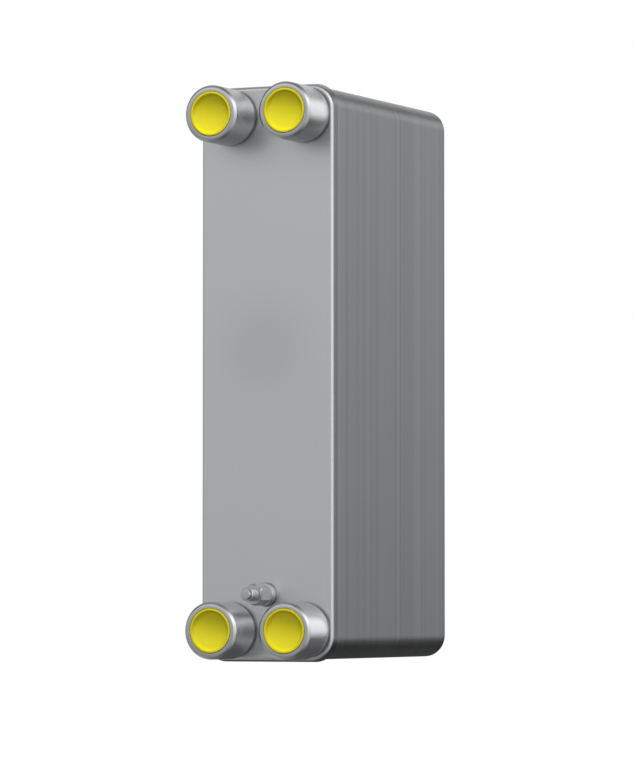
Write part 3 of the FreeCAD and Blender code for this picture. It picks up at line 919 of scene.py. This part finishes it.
def build_floor():
    """Flat floor sheet that reaches well past the object on every side."""
    mesh = bmesh.new()
    corners = [(-1, -1), (1, -1), (1, 1), (-1, 1)]
    mesh.faces.new([mesh.verts.new((x * FLOOR_HALF, y * FLOOR_HALF, 0.0)) for x, y in corners])
    bmesh.ops.subdivide_edges(mesh, edges=mesh.edges, cuts=8, use_grid_fill=True)
    return finish_mesh(mesh, "floor")


def floor_material():
    """Pale matt paper, evenly lit and seen only from above; reflections look through it."""
    material = bpy.data.materials.new("pale_paper")
    material.use_nodes = True
    tree = material.node_tree
    tree.nodes.clear()
    place = add(tree, "ShaderNodeTexCoord").outputs["Object"]
    fibres = add(tree, "ShaderNodeTexNoise", {"Vector": place, "Scale": 40.0, "Detail": 4.0}).outputs[0]
    tone = math_node(tree, "MULTIPLY_ADD", fibres, 0.02, 0.99)
    seen = add(tree, "ShaderNodeEmission", {"Color": (1, 1, 1, 1), "Strength": tone})
    clear = add(tree, "ShaderNodeBsdfTransparent", {"Color": (1, 1, 1, 1)})
    path = tree.nodes.new("ShaderNodeLightPath")
    below = tree.nodes.new("ShaderNodeNewGeometry").outputs["Backfacing"]
    from_above = math_node(tree, "SUBTRACT", path.outputs["Is Camera Ray"], below, clamp=True)
    mixed = add(tree, "ShaderNodeMixShader", {0: from_above, 1: clear.outputs[0], 2: seen.outputs[0]})
    output = tree.nodes.new("ShaderNodeOutputMaterial")
    tree.links.new(mixed.outputs[0], output.inputs[0])
    return material


floor = build_floor()
floor.data.materials.append(floor_material())

# Brightness round the room at eye height, by degrees right of the front
ROOM_ROUND = (
    (-180, 0.45), (-166, 0.90), (-150, 0.90), (-135, 0.50), (-118, 0.42), (-95, 0.48), (-72, 0.54),
    (-48, 0.615), (-8, 0.615), (10, 0.70), (24, 1.12), (42, 1.26), (62, 1.28), (84, 1.30),
    (102, 0.90), (117, 0.34), (130, 0.26), (140, 0.36), (149, 1.50), (156, 2.20), (162, 1.80),
    (171, 0.70), (180, 0.45),
)
# Panels seen in one direction only: way, its edge and middle in degrees, brightness
PANELS = (
    ((-0.13, 0.77, 0.62), 27, 8, 0.82),
    ((0.60, 0.68, 0.42), 15, 3, 0.66),
    ((0.0, 0.90, -0.42), 26, 6, 0.12),
    ((-0.43, 0.05, 0.90), 40, 15, 0.36),
    ((-0.43, -0.15, -0.90), 40, 15, 0.24),
    ((-0.80, 0.20, -0.50), 42, 12, 0.45),
)


def build_room_light():
    """World light: white to look at. For the object, soft panels stand round the room at eye
    height, and smaller ones hang higher up behind."""
    world = bpy.data.worlds.new("studio")
    bpy.context.scene.world = world
    world.use_nodes = True
    tree = world.node_tree
    tree.nodes.clear()
    way = add(tree, "ShaderNodeTexCoord").outputs["Generated"]
    parts = add(tree, "ShaderNodeSeparateXYZ", {0: way}).outputs
    to_front = math_node(tree, "MULTIPLY", parts["Y"], -1.0)
    turn = math_node(tree, "ARCTAN2", parts["X"], to_front)
    share = math_node(tree, "MULTIPLY_ADD", turn, 0.5 / math.pi, 0.5)
    table = add(tree, "ShaderNodeValToRGB", {0: share})
    ramp = table.color_ramp
    ramp.interpolation = "EASE"
    while len(ramp.elements) < len(ROOM_ROUND):
        ramp.elements.new(0.5)
    for element, (degrees, light) in zip(ramp.elements, ROOM_ROUND):
        element.position = degrees / 360 + 0.5
        element.color = (light / 2, light / 2, light / 2, 1)
    around = add(tree, "ShaderNodeSeparateColor", {0: table.outputs[0]}).outputs[0]

    def ramped(value, start, end, low, high):
        """Smooth step of a value from low at start to high at end."""
        return graded(tree, value, start, end, low, high, "SMOOTHSTEP")

    sides = math_node(tree, "MULTIPLY", ramped(parts["Z"], -0.24, 0.0, 0.02, 1.0),
                      ramped(parts["Z"], 0.28, 0.50, 1.0, 0.12))
    front = math_node(tree, "MULTIPLY", ramped(parts["Z"], -0.35, 0.35, 0.60, 1.28),
                      ramped(parts["Z"], -0.85, -0.40, 0.2, 1.0))
    front = math_node(tree, "MULTIPLY", front, ramped(parts["Z"], 0.22, 0.45, 1.0, 1.6))
    front = math_node(tree, "MULTIPLY", front, ramped(parts["Z"], 0.55, 0.85, 1.0, 0.2))
    frontness = ramped(to_front, 0.1, 0.6, 0.0, 1.0)
    height = add(tree, "ShaderNodeMix", {0: frontness, 2: sides, 3: front}, data_type="FLOAT").outputs[0]
    level = math_node(tree, "MULTIPLY", math_node(tree, "MULTIPLY", around, 2.0), height)
    for panel_way, edge, core, light in PANELS:
        along = add(tree, "ShaderNodeVectorMath", {0: way, 1: Vector(panel_way).normalized()},
                    operation="DOT_PRODUCT").outputs[1]
        panel = ramped(along, math.cos(math.radians(edge)), math.cos(math.radians(core)), 0.0, light)
        level = math_node(tree, "ADD", level, panel)
    path = tree.nodes.new("ShaderNodeLightPath")
    strength = add(tree, "ShaderNodeMix", {0: path.outputs["Is Camera Ray"], 2: level, 3: 1.0},
                   data_type="FLOAT").outputs[0]
    background = add(tree, "ShaderNodeBackground", {"Color": (1, 1, 1, 1), "Strength": strength})
    output = tree.nodes.new("ShaderNodeOutputWorld")
    tree.links.new(background.outputs[0], output.inputs[0])


def soft_box(name, place, size, power, aim):
    """Rectangular area light at a place, turned to face a point."""
    light = bpy.data.lights.new(name, "AREA")
    light.shape = "RECTANGLE"
    light.size, light.size_y = size
    light.energy = power
    lamp = bpy.data.objects.new(name, light)
    lamp.location = place
    lamp.rotation_euler = (Vector(place) - Vector(aim)).to_track_quat("Z", "Y").to_euler()
    lamp.visible_camera = False
    lamp.visible_glossy = False
    bpy.context.scene.collection.objects.link(lamp)


build_room_light()
soft_box("overhead_box", (0.6, -1.5, 3.3), (1.2, 1.0), 152, (0.0, 0.0, MID_Z))

# ------------------------------------------------------------------ camera
# A long lens a little below the middle, turned to the right of the front, looking slightly up.
CAMERA_AZIMUTH = math.radians(25.393)
CAMERA_RISE = math.radians(-2.676)
CAMERA_DISTANCE = 3.85
CAMERA_AIM = Vector((0.0377, FACE_Y + 0.018, MID_Z - 0.0061))
camera_data = bpy.data.cameras.new("camera")
camera_data.sensor_width = 36.0
camera_data.lens = 218.5
camera_data.clip_start = 0.1
camera_data.clip_end = 60.0
camera = bpy.data.objects.new("camera", camera_data)
back = Vector((math.sin(CAMERA_AZIMUTH) * math.cos(CAMERA_RISE),
               -math.cos(CAMERA_AZIMUTH) * math.cos(CAMERA_RISE), math.sin(CAMERA_RISE)))
camera.location = CAMERA_AIM + back * CAMERA_DISTANCE
camera.rotation_mode = "QUATERNION"
camera.rotation_quaternion = back.to_track_quat("Z", "Y")
bpy.context.scene.collection.objects.link(camera)
bpy.context.scene.camera = camera
bpy.context.scene.view_settings.view_transform = "Standard"
